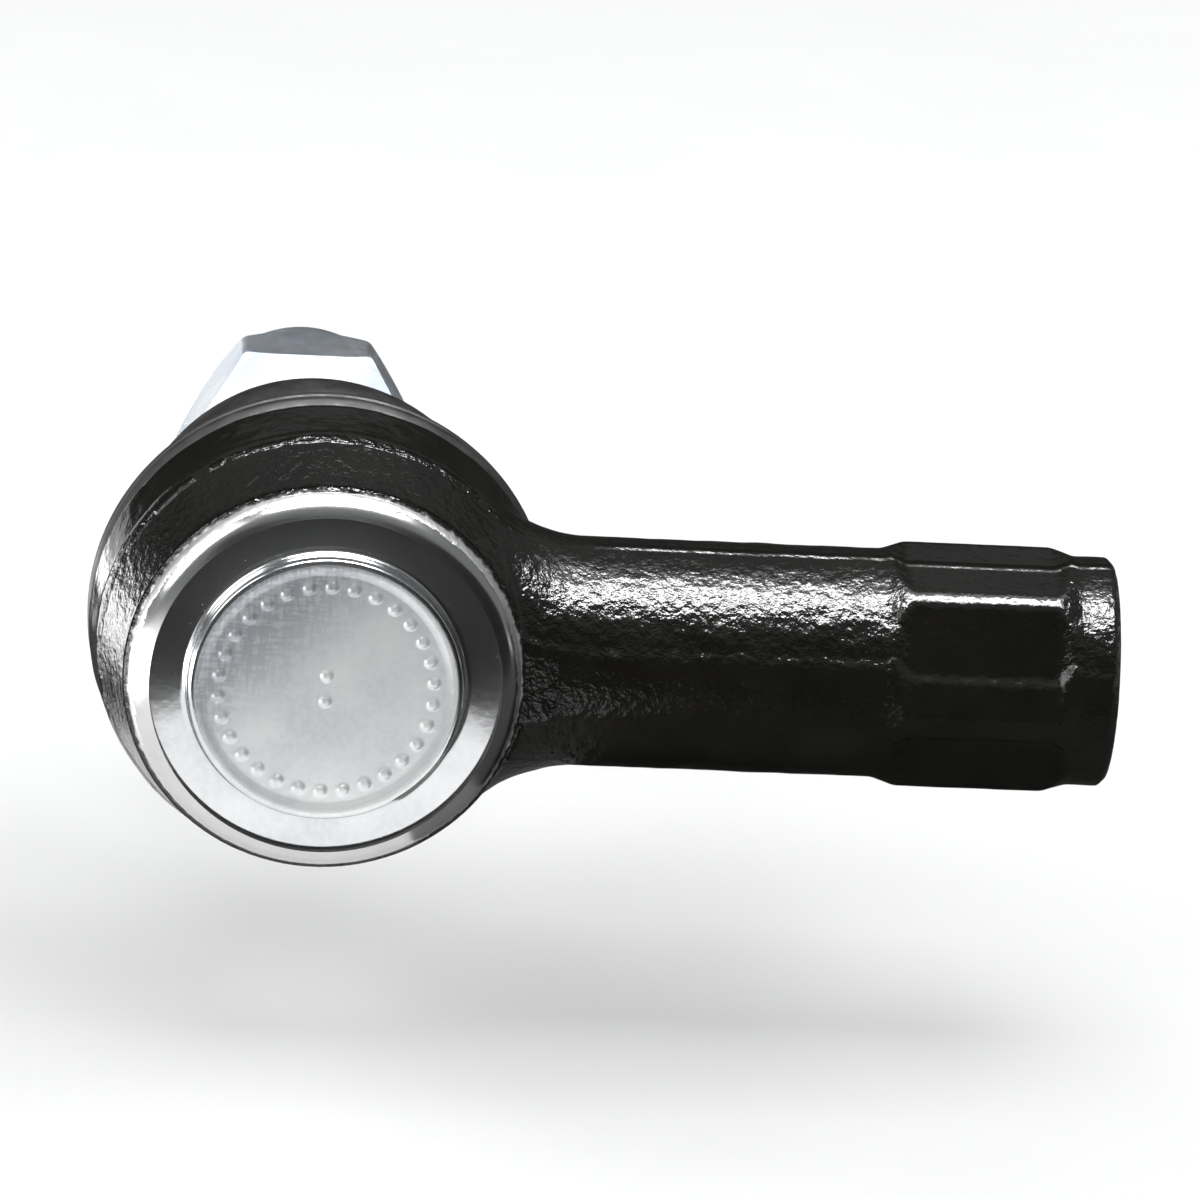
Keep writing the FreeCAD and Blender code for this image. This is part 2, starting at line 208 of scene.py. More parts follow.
def turned(name, outline, axis="y", segments=160):
    """Mesh turned about an axis. An outline that starts and ends on the axis closes there, and
    any other closes on itself."""
    solid = outline[0][0] < 1e-6 and outline[-1][0] < 1e-6
    body = outline[1:-1] if solid else outline
    rings = [around(axis, r, a, turns(segments)) for r, a in body]
    if not solid:
        return skin(name, rings, loop=True)
    ends = [around(axis, 0, outline[k][1], np.zeros(1))[0] for k in (0, -1)]
    return skin(name, rings, poles=ends)


def thread_depth(along, turn):
    """Depth of a right-hand thread's profile, 0 at its crest and 1 at its root."""
    phase = (along / PITCH - turn / (2 * math.pi)) % 1
    from_crest = np.minimum(phase, 1 - phase)
    crest_flat, root_flat = 1 / 16, 1 / 8
    return np.clip((from_crest - crest_flat) / (0.5 - root_flat - crest_flat), 0, 1)


def threaded_rings(axis, start, end, crest_r, root_r, per_pitch, segments):
    """Rings along a thread. Its root rises to meet the crest over the first and last half turn."""
    turn = turns(segments)
    stations = np.linspace(start, end, max(3, round(abs(end - start) / PITCH * per_pitch)))
    rings = []
    for along in stations:
        fade = ease(min(abs(along - start), abs(along - end)) / (PITCH / 2))
        depth = thread_depth(along, turn) * (crest_r - root_r) * fade
        rings.append(around(axis, crest_r - depth, along, turn))
    return rings


def apply_modifiers(piece):
    """Replaces the piece's mesh with its modifiers' result."""
    graph = bpy.context.evaluated_depsgraph_get()
    result = bpy.data.meshes.new_from_object(piece.evaluated_get(graph))
    piece.modifiers.clear()
    piece.data = result


def combine(piece, tool, operation):
    """Joins the tool to the piece, cuts it away or keeps what they share, and removes the tool."""
    modifier = piece.modifiers.new(operation, "BOOLEAN")
    modifier.operation, modifier.solver, modifier.object = operation, "MANIFOLD", tool
    apply_modifiers(piece)
    bpy.data.objects.remove(tool)


def smooth(piece, sharp_above=32):
    """Smooth shading, with edges sharper than that many degrees left crisp."""
    piece.data.polygons.foreach_set("use_smooth", [True] * len(piece.data.polygons))
    piece.data.set_sharp_from_angle(angle=math.radians(sharp_above))


# ---- housing ---------------------------------------------------------------------------------
LIP_ROUND = [(18.50, -11.05), (18.38, -11.65), (18.06, -12.20), (17.48, -12.78)]
HAIR = 0.02                    # how far a tool stands back from the CAD's outer faces


def welded_copy(node, name):
    """Closed copy of a CAD node's mesh."""
    same_place = 1e-7
    piece = bpy.data.objects.new(name, NODES[node].data.copy())
    bpy.context.scene.collection.objects.link(piece)
    piece.data.materials.clear()
    work = bmesh.new()
    work.from_mesh(piece.data)
    bmesh.ops.remove_doubles(work, verts=work.verts, dist=same_place)
    work.to_mesh(piece.data)
    work.free()
    return piece


def vectors_of(items, attribute):
    """Array of one vector of each item of a mesh."""
    values = np.zeros(len(items) * 3)
    items.foreach_get(attribute, values)
    return values.reshape(-1, 3)


def hammer(piece):
    """Pushes the skin in and out as a forging's is. The lip's end stands a little proud, so that
    turning it later leaves no trace of the skin."""
    coarse, fine = 3.6, 1.5        # size of the dents
    coarse_depth, fine_depth = 0.060, 0.034
    on_flats = 0.45                # share of it that the spanner flats have
    flats_fade, lip_fade, end_fade = 2, 0.5, 0.6
    end_face = 1                   # plain length at the shank's mouth
    proud = 0.2
    mesh = piece.data
    place = vectors_of(mesh.vertices, "co")
    normal = vectors_of(mesh.vertex_normals, "vector")
    x, y = (place / MM).T[:2]
    dents = np.array([
        coarse_depth * noise.noise(Vector(p) / coarse) + fine_depth * noise.noise(Vector(p) / fine)
        for p in place / MM
    ])
    flats = ease((x - WRENCH_X[0] + flats_fade / 2) / flats_fade)
    flats *= ease((WRENCH_X[1] + flats_fade / 2 - x) / flats_fade)
    dents *= 1 - (1 - on_flats) * flats
    at_lip = ease((LIP_TOP[1] + lip_fade - y) / lip_fade)
    at_end = ease((x - SHANK_END + end_face) / end_fade)
    amount = (dents - coarse_depth) * (1 - at_lip) * (1 - at_end) + proud * at_lip
    place += normal * (amount * MM)[:, None]
    mesh.vertices.foreach_set("co", place.ravel())
    mesh.update()


def bore_filler():
    """Fills the CAD housing's cavity, so that its skin can be made before the bores are."""
    overlap = 0.6                  # into the cavity's walls
    pocket_r, pocket_y = CAP_FLANGE_R + overlap, (-12.4, -10.6)
    bore_r, bore_y = BORE_R + overlap, (-10.2, 5.5)
    throat, mouth_r = (13.4, 8.5), MOUTH_R + 0.4
    bottom, top = LIP_EDGE[1] + HAIR, TOP_Y - HAIR
    return turned("filler", [(0, bottom), (LIP_EDGE[0] + overlap, bottom),
                             (pocket_r, pocket_y[0]), (pocket_r, pocket_y[1]),
                             (bore_r, bore_y[0]), (bore_r, bore_y[1]), throat,
                             (mouth_r, top), (0, top)])


def lip_turning():
    """What the lathe takes off outside the rolled lip: a ledge, then the lip's round."""
    clear_r, clear_y = 22, -15     # beyond the forging
    ledge_y, face_y = LIP_TOP[1] - HAIR, LIP_EDGE[1] + 0.06
    inner_r = LIP_EDGE[0] - 1.5
    lip = through(LIP_ROUND + [(LIP_EDGE[0], face_y)], 5)
    return turned("turning", [(clear_r, ledge_y), (LIP_TOP[0], ledge_y)] + lip
                  + [(inner_r, face_y), (inner_r, clear_y), (clear_r, clear_y)])


def cavity_cutter():
    """Cap pocket, bearing bore, throat and flared mouth."""
    below, above = -16, 15         # beyond the forging
    pocket_r = CAP_FLANGE_R + 0.05
    outline = [(0, below), (LIP_EDGE[0], below), LIP_EDGE, (LIP_EDGE[0], CAP_FLOOR_Y),
               (pocket_r, CAP_FLOOR_Y), (pocket_r, CAP_FLOOR_Y + CAP_T),
               (BORE_R, CAP_FLOOR_Y + CAP_T), (BORE_R, BORE_TOP_Y), *THROAT,
               (MOUTH_R, TOP_Y), (MOUTH_R, above), (0, above)]
    return turned("cavity", outline)


def tap_cutter():
    """Threaded hole with its countersink and drilled end, as a solid to cut away."""
    segments, per_pitch = 80, 8
    bottom = SHANK_END - ROD_HOLE_LEN
    mouth_r = THREAD_R + 0.3
    drill_point = math.radians(31)
    thread_start, thread_end = bottom + 5, SHANK_END - 0.6
    grow_pitches = 2               # turns over which the thread reaches its depth
    clear = 2                      # how far the cutter stands out of the mouth
    turn = turns(segments)
    rings = [around("x", TAP_R, bottom, turn), around("x", TAP_R, thread_start, turn)]
    thread = threaded_rings("x", thread_start, SHANK_END + clear, THREAD_R, TAP_R, per_pitch, segments)
    for ring in thread[1:]:
        along = ring[0][0] / MM
        grow = ease((along - thread_start) / (grow_pitches * PITCH))
        radius = np.hypot(ring[:, 1], ring[:, 2]) / MM
        radius = TAP_R + (radius - TAP_R) * grow
        radius = np.maximum(radius, mouth_r + (along - SHANK_END))
        rings.append(around("x", radius, along, turn))
        if along > thread_end + clear:
            break
    tip = around("x", 0, bottom - TAP_R * math.tan(drill_point), np.zeros(1))[0]
    end = rings[-1].mean(0)
    return skin("tap", rings, poles=(tip, end))


def end_facing():
    """What facing the shank's end takes off, with its chamfer."""
    clear_r, clear_x = 16, SHANK_END + 3
    face_r, face_x = 10.35, SHANK_END - HAIR
    return turned("facing", [(0, face_x), (face_r, face_x), (clear_r, face_x - (clear_r - face_r)),
                             (clear_r, clear_x), (0, clear_x)], "x")


def housing():
    """Forging with a dented skin, then the turned lip, the bores and the tapped hole."""
    voxel = 0.36
    piece = welded_copy("housing", "forging")
    combine(piece, bore_filler(), "UNION")
    remesh = piece.modifiers.new("remesh", "REMESH")
    remesh.mode, remesh.voxel_size = "VOXEL", voxel * MM
    apply_modifiers(piece)
    hammer(piece)
    combine(piece, lip_turning(), "DIFFERENCE")
    combine(piece, cavity_cutter(), "DIFFERENCE")
    combine(piece, end_facing(), "DIFFERENCE")
    combine(piece, tap_cutter(), "DIFFERENCE")
    smooth(piece, 38)
    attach(piece, "socket")
    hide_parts("housing")
    return piece


# ---- end cap ---------------------------------------------------------------------------------
FACE_DIP = 0.24                # how far the cap's face lies below its rim
FACE_DISH = 0.32               # how much deeper its middle lies
FACE_R = 11.2                  # where the face starts to rise to its rim
RIM_R = 12.0
MARK_RING_R = 10.15
MARK_STEP = 12                 # degrees between marks
MARK_R = 0.70
MIDDLE_MARK_Z = 1.25           # the two marks at the middle are this far above and below it


def mark_height(radius, turn):
    """Height, 0 to 1, of the plain round pips raised on the cap: a ring, and two at its middle."""
    edge = 0.42                    # width of a pip's slope
    step = math.radians(MARK_STEP)
    off = (turn - np.round(turn / step) * step) * radius
    from_ring_pip = np.hypot(off, radius - MARK_RING_R)
    x, z = radius * np.sin(turn), radius * np.cos(turn)
    from_middle_pip = np.hypot(x, np.abs(z) - MIDDLE_MARK_Z)
    return 1 - ease((np.minimum(from_ring_pip, from_middle_pip) - (MARK_R - edge)) / edge)


def cap_face_rings(segments):
    """Rings of the cap's face, fine where marks are."""
    rise, rise_share = 0.8, 0.7    # the slope up to the rim
    mark_below_rim = 0.03
    turn = turns(segments)
    middle_marks, between = np.arange(0.15, 2.4, 0.15), np.arange(2.6, 8.6, 0.75)
    ring_marks, edge = np.arange(8.9, 11.4, 0.13), [11.6, 11.85]
    rings = []
    for r in np.concatenate([middle_marks, between, ring_marks, edge]):
        dish = FACE_DIP * (1 - rise_share * ease((r - FACE_R) / rise))
        dish += FACE_DISH * max(0, 1 - (r / FACE_R) ** 2)
        height = dish - (FACE_DIP - mark_below_rim) * mark_height(np.full(segments, r), turn)
        rings.append(around("y", r, CAP_FACE_Y + height, turn))
    return rings


def cap_profile():
    """Outline from the face's rim over the disc's wall and the sunk ring to the hidden inside."""
    edge, foot = 0.75, 0.7         # how far the corners are rounded, in front and behind
    draft = 0.12                   # how far the disc's wall leans outward
    slope = 0.16                   # how far the sunk ring falls away outward
    well_r, well_y = 12.4, CAP_FLOOR_Y + CAP_T
    step_r, step = 11.4, 0.9
    back_r, back_y = 11.2, CAP_FACE_Y + CAP_T
    middle_r = 0.3
    face_y = CAP_FACE_Y + HAIR
    front = rounded([(RIM_R, face_y), (CAP_DISC_R, face_y), (CAP_DISC_R + draft, CAP_FLOOR_Y - slope),
                     (LIP_EDGE[0] - HAIR, CAP_FLOOR_Y)], edge, 7)
    back = rounded([(CAP_FLANGE_R, CAP_FLOOR_Y), (CAP_FLANGE_R, well_y), (well_r, well_y),
                    (step_r, well_y - step), (back_r, back_y), (middle_r, back_y)], foot, 3)
    return front + back


def end_cap():
    """Pressed cap with plain raised marks."""
    segments = 480
    rings = cap_face_rings(segments)
    rings += [around("y", r, y, turns(segments)) for r, y in cap_profile()]
    poles = [(0, (CAP_FACE_Y + FACE_DIP + FACE_DISH) * MM, 0), (0, (CAP_FACE_Y + CAP_T) * MM, 0)]
    piece = skin("pressed_cap", rings, poles=poles)
    smooth(piece, 40)
    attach(piece, "socket")
    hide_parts("end_cap")
    return piece


# ---- stud and nut ----------------------------------------------------------------------------
def stud_shape():
    """Outline from the ball's flat to the relief below the thread."""
    ball_from, ball_to = math.radians(-48.4), math.radians(59.2)
    corner = 0.25
    ball = [(BALL_R * math.cos(a), BALL_R * math.sin(a)) for a in np.linspace(ball_from, ball_to, 40)]
    neck = through([ball[-1]] + STUD_NECK, 5)[1:]
    seat = rounded([STUD_NECK[-1]] + STUD_TAPER + STUD_RELIEF, corner, 3)[1:]
    return [(BALL_FLAT_R, BALL_FLAT_Y)] + ball + neck + seat


def stud_tip():
    """Outline of the stud's end, from the thread's last crest into the turning centre."""
    end = STUD_END_Y
    return [(STUD_CREST_R - 0.15, end - 0.9), (6.05, end - 0.06), (5.85, end), (1.75, end),
            (1.6, end - 0.1)]


def stud():
    """Ball, neck, taper and rolled thread."""
    segments, per_pitch = 128, 10
    thread_y = (51.2, STUD_END_Y - 1.1)
    root_r = STUD_CREST_R - 0.92
    centre_depth = 2.77            # of the turning centre
    turn = turns(segments)
    rings = [around("y", r, y, turn) for r, y in stud_shape()]
    rings += threaded_rings("y", *thread_y, STUD_CREST_R, root_r, per_pitch, segments)
    rings += [around("y", r, y, turn) for r, y in stud_tip()]
    poles = [(0, BALL_FLAT_Y * MM, 0), (0, (STUD_END_Y - centre_depth) * MM, 0)]
    piece = skin("turned_stud", rings, poles=poles)
    smooth(piece)
    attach(piece, "stud")
    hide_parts("ball_stud")
    return piece


def hexagon(flats, near, far, corner_round):
    """Hexagonal prism about +Y with softened corners and a flat upward."""
    corner_r = flats / math.sqrt(3)
    corners = [(corner_r * math.cos(math.radians(60 * k)), corner_r * math.sin(math.radians(60 * k)))
               for k in range(8)]
    outline = rounded(corners, corner_round, 5)[1:-1]
    count = len(outline)
    rings = [np.array([(x * MM, y * MM, z * MM) for x, z in outline]) for y in (near, far)]
    vertices = np.concatenate(rings)
    faces = [(j, (j + 1) % count, (j + 1) % count + count, j + count) for j in range(count)]
    faces += [tuple(range(count)), tuple(range(count, 2 * count))]
    return new_piece("hexagon", vertices, faces)


def nut_bore():
    """Threaded bore of the nut with its lead-in, as a solid to cut away."""
    segments, per_pitch = 96, 8
    root_r, crest_r = 7.35, 6.99   # of the nut's thread
    lead_r, clear_r, clear = 7.95, 8.1, 0.2
    nylon_r, rolled_r = 8.9, 8.4   # room for the nylon ring, and the collar rolled over it
    turn = turns(segments)
    rings = [around("y", clear_r, NUT_NEAR_Y - clear, turn)]
    for ring in threaded_rings("y", NUT_NEAR_Y, NYLON_NEAR_Y, root_r, crest_r, per_pitch, segments):
        along = ring[0][1] / MM
        radius = np.hypot(ring[:, 0], ring[:, 2]) / MM
        rings.append(around("y", np.maximum(radius, lead_r - (along - NUT_NEAR_Y)), along, turn))
    upper = [(nylon_r, NYLON_NEAR_Y + HAIR), (nylon_r, NYLON_FAR_Y), (rolled_r, NYLON_FAR_Y + HAIR),
             (rolled_r, NUT_FAR_Y + 1)]
    rings += [around("y", r, y, turn) for r, y in upper]
    return skin("bore", rings, poles=[rings[0].mean(0), rings[-1].mean(0)])


def nut_shape():
    """Outline of the nut: washer face, hexagon, cone and the collar over the nylon ring."""
    corner_r, flat_r = NUT_CORNER_R, NUT_FLATS / 2
    near, far = NUT_NEAR_Y, NUT_FAR_Y
    bend = 0.35
    hexagon_part = [(0, near), (corner_r - 0.9, near), (corner_r, near + 0.45), (corner_r, near + 5.4)]
    cone = [(flat_r - 0.05, near + 8.0), (flat_r - 0.45, near + 8.3)]
    collar = [(flat_r - 0.62, far - 2.1), (flat_r - 0.95, far - 0.7), (flat_r - 1.9, far), (0, far)]
    return rounded(hexagon_part + cone + collar, bend, 4)


def nut():
    """Hexagon nut whose round collar is rolled over a nylon ring."""
    clear, corner_round = 1, 0.55
    piece = turned("hex_nut", nut_shape(), segments=192)
    combine(piece, hexagon(NUT_FLATS, NUT_NEAR_Y - clear, NUT_FAR_Y + clear, corner_round), "INTERSECT")
    combine(piece, nut_bore(), "DIFFERENCE")
    smooth(piece, 30)
    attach(piece, "nut")
    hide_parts("lock_nut")
    return piece


# ---- boot and its rings ----------------------------------------------------------------------
BOOT_OUTER = [(20.3, 10.55), (19.9, 12.0), (18.3, 14.4), (17.3, 17.0), (17.5, 19.6), (18.15, 22.0),
              (18.2, 24.4), (17.3, 27.2), (15.3, 29.8), (12.6, 31.6), (11.0, 32.3)]
BOOT_INNER = [(9.6, 29.9), (11.8, 29.5), (14.0, 28.1), (15.6, 26.1), (16.3, 24.0), (16.2, 22.0),
              (15.6, 19.8), (15.4, 17.0), (16.4, 13.9), (18.0, 11.9), (18.5, 11.1)]


def split_at(outline, y):
    """The two parts of an outline below and above y, both with the point at y."""
    for k, (a, b) in enumerate(zip(outline, outline[1:])):
        if (a[1] - y) * (b[1] - y) <= 0:
            t = (y - a[1]) / (b[1] - a[1])
            cut = (a[0] + (b[0] - a[0]) * t, y)
            return outline[:k + 1] + [cut], [cut] + outline[k + 1:]
    raise ValueError("the outline doesn't cross that height")


def boot_rings(outline, segments=160):
    """Rings of the rubber, which is never quite round."""
    soft_from, soft_to = 10.5, 33  # heights between which the rubber sags
    fade_in, fade_out = 5, 3
    oval, wavy, inset = 0.07, 0.04, 0.05
    turn = turns(segments)
    rings = []
    for r, y in outline:
        soft = ease((y - soft_from) / fade_in) * ease((soft_to - y) / fade_out)
        sag = oval * soft * np.sin(2 * turn + 0.7 + 0.05 * y) + wavy * soft * np.sin(5 * turn + 0.12 * y)
        rings.append(around("y", r + sag - inset * soft, y, turn))
    return rings


def lip_outline():
    """Lower lip with the groove of its ring and two fine mould beads, from inside to outside."""
    seal_r, seat_r = 17.75, 19.6   # inside of the lip, and the foot of its outside
    foot_y, top_y = 5.15, 10.55
    bead_r, corner = BOOT_LIP_R - 0.22, 0.3
    shoulder_r = BOOT_LIP_R - 0.5
    inside = [BOOT_INNER[-1], (BOOT_INNER[-1][0], 10.2), (seal_r, 9.5), (seal_r, foot_y)]
    beads = [(shoulder_r, 5.55), (BOOT_LIP_R, 6.4), (BOOT_LIP_R, 7.0), (bead_r, 7.2), (bead_r, 7.5),
             (BOOT_LIP_R, 7.7), (BOOT_LIP_R, 8.3), (shoulder_r, 8.95)]
    groove = [(SKIRT_GROOVE_R, 8.95), (SKIRT_GROOVE_R, top_y), BOOT_OUTER[0]]
    return inside + rounded([inside[-1], (seat_r, foot_y)] + beads + groove, corner, 4)[1:]


def collar_outline():
    """Collar round the stud, with the groove of its ring, from outside to inside."""
    groove_low, groove_high, end_y = 33.2, 34.6, 35.5
    corner = 0.22
    outside = [BOOT_OUTER[-1], (10.55, 32.75), (10.55, groove_low)]
    groove = [(COLLAR_GROOVE_R, groove_low), (COLLAR_GROOVE_R, groove_high), (10.15, groove_high)]
    inside = [(9.85, end_y), (8.47, end_y), (8.65, 32.6), (8.65, 30.4), BOOT_INNER[0]]
    return rounded(outside + groove + inside, corner, 4)


def boot():
    """Rubber boot in two pieces that meet at its bulge."""
    outer_low, outer_high = split_at(through(BOOT_OUTER, 14), BOOT_SPLIT_Y)
    inner_high, inner_low = split_at(through(BOOT_INNER, 6), BOOT_SPLIT_Y)
    lower = skin("boot_skirt", boot_rings(lip_outline() + outer_low[1:] + inner_low), loop=True)
    upper = skin("boot_dome", boot_rings(outer_high + collar_outline()[1:] + inner_high[1:]), loop=True)
    for piece in (lower, upper):
        smooth(piece, 50)
    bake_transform(lower)
    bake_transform(upper)
    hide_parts("dust_boot")
    return lower, upper


def wire_ring(name, node, body, floor_r, wire_r):
    """Spring ring: two turns of round wire side by side, with cut ends."""
    steps, sides = 260, 12
    sweep = 4 * math.pi * 0.985
    step_from, step_over = 1.6 * math.pi, 0.8 * math.pi    # where the wire crosses to its second turn
    spacing = 0.98                 # of the two turns, in wire diameters
    low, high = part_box(node)
    middle_y = (low.y + high.y) / 2 / MM
    centre_r = floor_r + wire_r
    along = np.array([0, 1, 0])
    turn = turns(sides)[:, None]
    rings = []
    for angle in np.linspace(0, sweep, steps):
        y = middle_y + wire_r * (ease((angle - step_from) / step_over) * 2 - 1) * spacing
        outward = np.array([math.sin(angle), 0, math.cos(angle)])
        middle = outward * centre_r + along * y
        rings.append((middle + wire_r * (np.cos(turn) * outward + np.sin(turn) * along)) * MM)
    piece = skin(name, rings, poles=(rings[0].mean(0), rings[-1].mean(0)))
    smooth(piece)
    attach(piece, body)
    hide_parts(node)
    return piece


# ---- materials -------------------------------------------------------------------------------
class Look:
    """Node graph of one material. Its helpers return output sockets."""

    def __init__(self, name, **constants):
        self.material = bpy.data.materials.new(name)
        self.material.use_nodes = True
        self.tree = self.material.node_tree
        self.shader = self.tree.nodes["Principled BSDF"]
        for socket, value in constants.items():
            self.shader.inputs[socket.replace("_", " ")].default_value = value
        self.place = self.add("TexCoord").outputs["Object"]

    def add(self, kind, *inputs, **settings):
        made = self.tree.nodes.new("ShaderNode" + kind)
        for key, value in settings.items():
            setattr(made, key, value)
        for k, value in enumerate(inputs):
            self.give(made.inputs[k], value)
        return made

    def give(self, socket, value):
        if isinstance(value, bpy.types.NodeSocket):
            self.tree.links.new(value, socket)
        elif value is not None:
            socket.default_value = value

    def noise(self, size, detail=2.0, sharp=0.5, stretch=None):
        """Noise whose grains are about size millimetres. stretch scales the place first."""
        place = self.place
        if stretch:
            place = self.add("VectorMath", place, stretch, operation="MULTIPLY").outputs[0]
        made = self.add("TexNoise")
        self.give(made.inputs["Vector"], place)
        made.inputs["Scale"].default_value = 1 / (size * MM)
        made.inputs["Detail"].default_value = detail
        made.inputs["Roughness"].default_value = sharp
        return made.outputs["Fac"]

    def math(self, operation, a, b=None):
        return self.add("Math", a, b, operation=operation).outputs[0]

    def times(self, a, b):
        return self.math("MULTIPLY", a, b)

    def ramp(self, value, low, high, at_low=0.0, at_high=1.0):
        """Value mapped smoothly from low..high to at_low..at_high, and held beyond."""
        return self.add("MapRange", value, low, high, at_low, at_high,
                        interpolation_type="SMOOTHSTEP").outputs[0]

    def fade(self, length, zero_at, one_at):
        """0 where a length in metres is zero_at millimetres and 1 where it is one_at."""
        return self.ramp(length, zero_at * MM, one_at * MM)

    def off(self, length, middle):
        """How far a length in metres is from middle, which is in millimetres."""
        return self.math("ABSOLUTE", self.math("ADD", length, -middle * MM))

    def between(self, factor, a, b):
        """Number from a to b."""
        made = self.add("Mix", data_type="FLOAT")
        for socket, value in zip(made.inputs[:1] + made.inputs[2:4], (factor, a, b)):
            self.give(socket, value)
        return made.outputs[0]

    def mix(self, factor, a, b):
        """Colour from a to b."""
        made = self.add("Mix", data_type="RGBA")
        self.give(made.inputs[0], factor)
        for socket, colour in ((made.inputs[6], a), (made.inputs[7], b)):
            self.give(socket, colour if isinstance(colour, bpy.types.NodeSocket) else (*colour, 1))
        return made.outputs[2]

    def bumps(self, *layers):
        """Bump of (height, depth in millimetres) layers, one over another."""
        normal = None
        for height, depth in layers:
            made = self.add("Bump")
            made.inputs["Distance"].default_value = depth * MM
            self.give(made.inputs["Height"], height)
            self.give(made.inputs["Normal"], normal)
            normal = made.outputs[0]
        self.give(self.shader.inputs["Normal"], normal)

    def set(self, socket, value):
        self.give(self.shader.inputs[socket], value)

    def radius(self, axis):
        """Distance in metres from the X or the Y axis."""
        flat = (0, 1, 1) if axis == "x" else (1, 0, 1)
        across = self.add("VectorMath", self.place, flat, operation="MULTIPLY").outputs[0]
        return self.add("VectorMath", across, operation="LENGTH").outputs["Value"]

    def along(self, axis):
        return self.add("SeparateXYZ", self.place).outputs[axis.upper()]


# Pairs are places in millimetres where a mask is 0 and where it is 1.
TURNED_LIP_Y = (-10.85, -11.20)    # over this the paint gives way to the turned lip
TURNED_LIP_R = (19.5, 19.1)
LEDGE_Y = (-12.2, -12.0)           # from the lip's smooth round to its coarser ledge
PAINTED_FLATS_X = ((54.5, 56.0), (70.5, 69.0))
TRIM_LINE_Y, TRIM_LINE_REACH = -1.0, 0.8           # its middle, and how far it spreads each way
SHOULDER_LINE_Y, SHOULDER_LINE_REACH = -2.9, 0.6


def bare_steel(look, lip_place):
    """Mask of the turned lip, the tapped hole and the cavity, where there is no paint."""
    tap_r, tap_x, cavity_r = (7.4, 7.1), (20, 21), (15.9, 15.85)
    lip = look.times(look.fade(lip_place, *TURNED_LIP_Y), look.fade(look.radius("y"), *TURNED_LIP_R))
    tap = look.times(look.fade(look.radius("x"), *tap_r), look.fade(look.along("x"), *tap_x))
    cavity = look.fade(look.radius("y"), *cavity_r)
    return look.math("MAXIMUM", look.math("MAXIMUM", lip, tap), cavity)


def black_paint(look):
    """Colour of the paint, patchy and a little dusty."""
    deep, thin = (0.0055, 0.0053, 0.0042), (0.0085, 0.0082, 0.0066)
    dusty, dust_share = (0.035, 0.033, 0.028), 0.15
    patches = look.ramp(look.noise(6, 3), 0.3, 0.75)
    dust = look.ramp(look.noise(0.8, 6, 0.7), 0.62, 0.80)
    return look.mix(look.times(dust, dust_share), look.mix(patches, deep, thin), dusty)


def forging_roughness(look, bare, ledge):
    """Glossy paint, a smooth lip and its rougher ledge."""
    paint_gloss, steel_gloss = (0.11, 0.19), (0.19, 0.46)
    paint = look.ramp(look.noise(1.2, 3, 0.5), 0.25, 0.8, *paint_gloss)
    steel = look.ramp(ledge, 0.0, 1.0, *steel_gloss)
    return look.between(bare, paint, steel)


def forging_skin(look, bare, on_socket):
    """How much of the forging's rough skin shows: less on the spanner flats and on the barrel."""
    flats_lose, barrel_keeps = 0.55, 0.25
    barrel_y = (-2.2, -1.2)
    start, end = PAINTED_FLATS_X
    on_flats = look.times(look.fade(look.along("x"), *start), look.fade(look.along("x"), *end))
    skin = look.math("SUBTRACT", 1.0, look.math("MAXIMUM", bare, look.times(on_flats, flats_lose)))
    on_barrel = look.times(look.fade(look.along("y"), *barrel_y), on_socket)
    return look.times(skin, look.ramp(on_barrel, 0.0, 1.0, 1.0, barrel_keeps))


def trim_line(look):
    """Fine ridge along the shank, where the forging's flash was trimmed."""
    shank_x, side_z = (23, 28), (8.0, 9.0)
    on_shank = look.times(look.fade(look.along("x"), *shank_x),
                          look.fade(look.math("ABSOLUTE", look.along("z")), *side_z))
    return look.times(look.fade(look.off(look.along("y"), TRIM_LINE_Y), TRIM_LINE_REACH, 0.0), on_shank)


def shoulder_line(look, on_socket):
    """Broken ridge round the socket's shoulder."""
    crest = 0.1
    line = look.fade(look.off(look.along("y"), SHOULDER_LINE_Y), SHOULDER_LINE_REACH, crest)
    broken = look.ramp(look.noise(1.6, 3), 0.38, 0.55)
    return look.times(look.times(line, on_socket), broken)


def forged_paint():
    """Glossy black paint over a rough forging, bare steel on the turned lip and in the bores."""
    steel_dark, steel_light = (0.56, 0.56, 0.56), (0.70, 0.70, 0.69)
    raggedness = 0.7               # of the paint's edge
    socket_r, socket_x = (20.3, 20.7), (19, 16)
    look = Look("forged_paint", IOR=1.52)
    ragged = look.times(look.math("SUBTRACT", look.noise(0.9, 3), 0.5), raggedness * MM)
    lip_place = look.math("ADD", look.along("y"), ragged)
    bare, ledge = bare_steel(look, lip_place), look.fade(lip_place, *LEDGE_Y)
    on_socket = look.times(look.fade(look.radius("y"), *socket_r), look.fade(look.along("x"), *socket_x))
    skin = forging_skin(look, bare, on_socket)
    steel_colour = look.mix(look.noise(2.5, 4, 0.6), steel_dark, steel_light)
    look.set("Base Color", look.mix(bare, black_paint(look), steel_colour))
    look.set("Metallic", bare)
    look.set("Roughness", forging_roughness(look, bare, ledge))
    peel = look.times(look.noise(2.0, 1, 0.5), skin)
    grain = look.times(look.noise(0.85, 3, 0.55), skin)
    ledge_grain = look.times(look.noise(0.6, 3), look.times(ledge, bare))
    lathe_marks = look.times(look.noise(0.35, 2, 0.5, (0.35, 3.0, 0.35)), bare)
    look.bumps((peel, 0.08), (grain, 0.20), (trim_line(look), 0.26),
               (shoulder_line(look, on_socket), 0.24), (ledge_grain, 0.12), (lathe_marks, 0.004))
    return look.material


